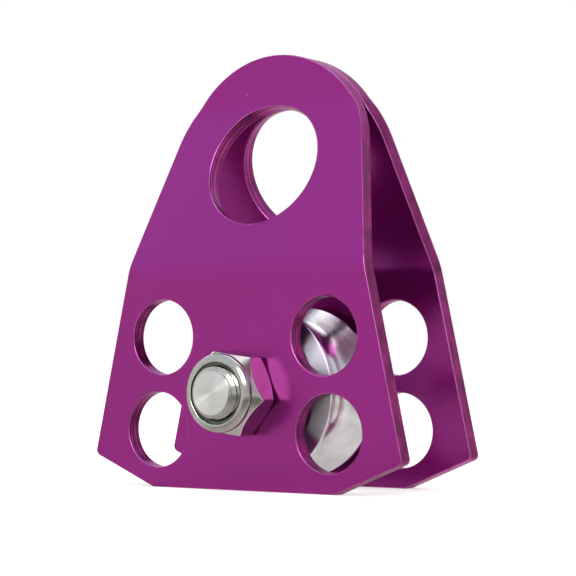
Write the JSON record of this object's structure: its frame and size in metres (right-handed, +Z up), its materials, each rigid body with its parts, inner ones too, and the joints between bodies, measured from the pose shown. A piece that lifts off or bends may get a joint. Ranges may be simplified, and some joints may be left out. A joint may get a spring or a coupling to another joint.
{
  "type": "prusik minding pulley",
  "caption": "Swing-cheek rope pulley with square-footed bent side plates that stop prusik knots, a ball-bearing sheave and a bolt axle.",
  "frame": {"origin": "middle of the lower edges of the side plates, at the centre of the overall box across and along the bolt", "axes": "+Z up towards the clip eye, +X across the plates, +Y along the bolt from the nut towards the head"},
  "size_m": [0.0914, 0.0554, 0.1075],
  "materials": {
    "plate_anodised": "purple anodised, satin bright",
    "fastener_steel": "bright stainless, turned and lightly satin",
    "insert_nylon": "dark nylon",
    "sheave_aluminium": "turned and polished",
    "bearing_steel": "ground and polished",
    "cage_nylon": "natural moulded nylon",
    "spacer_aluminium": "fine turned",
    "washer_acetal": "smooth moulded"
  },
  "bodies": {
    "axle_and_rear_plate": {"rear_side_plate": "plate_anodised", "axle_bolt": "fastener_steel", "lock_nut": "fastener_steel", "nylon_insert": "insert_nylon", "bearing_inner_race": "bearing_steel", "front_spacer": "spacer_aluminium", "rear_spacer": "spacer_aluminium", "front_thrust_washer": "washer_acetal", "rear_thrust_washer": "washer_acetal"},
    "front_plate": {"front_side_plate": "plate_anodised"},
    "sheave_group": {"sheave": "sheave_aluminium", "bearing_outer_race": "bearing_steel", "front_bearing_shield": "bearing_steel", "rear_bearing_shield": "bearing_steel", "bearing_clip": "bearing_steel"},
    "ball_set": {"ball_cage": "cage_nylon", "ball_1": "bearing_steel", "ball_2": "bearing_steel", "ball_3": "bearing_steel", "ball_4": "bearing_steel", "ball_5": "bearing_steel", "ball_6": "bearing_steel", "ball_7": "bearing_steel", "ball_8": "bearing_steel"}
  },
  "joints": [
    {"name": "front_plate_swing", "type": "hinge", "parent": "axle_and_rear_plate", "child": "front_plate", "pos_m": [0, 0.00195, 0.02359], "axis": [0, 1, 0], "continuous": true},
    {"name": "sheave_spin", "type": "hinge", "parent": "axle_and_rear_plate", "child": "sheave_group", "pos_m": [0, 0.00195, 0.02359], "axis": [0, 1, 0], "continuous": true},
    {"name": "ball_orbit", "type": "hinge", "parent": "axle_and_rear_plate", "child": "ball_set", "pos_m": [0, 0.00195, 0.02359], "axis": [0, 1, 0], "continuous": true}
  ],
  "couplings": [
    {"joint": "ball_orbit", "follows": "sheave_spin", "ratio": 0.6154}
  ]
}
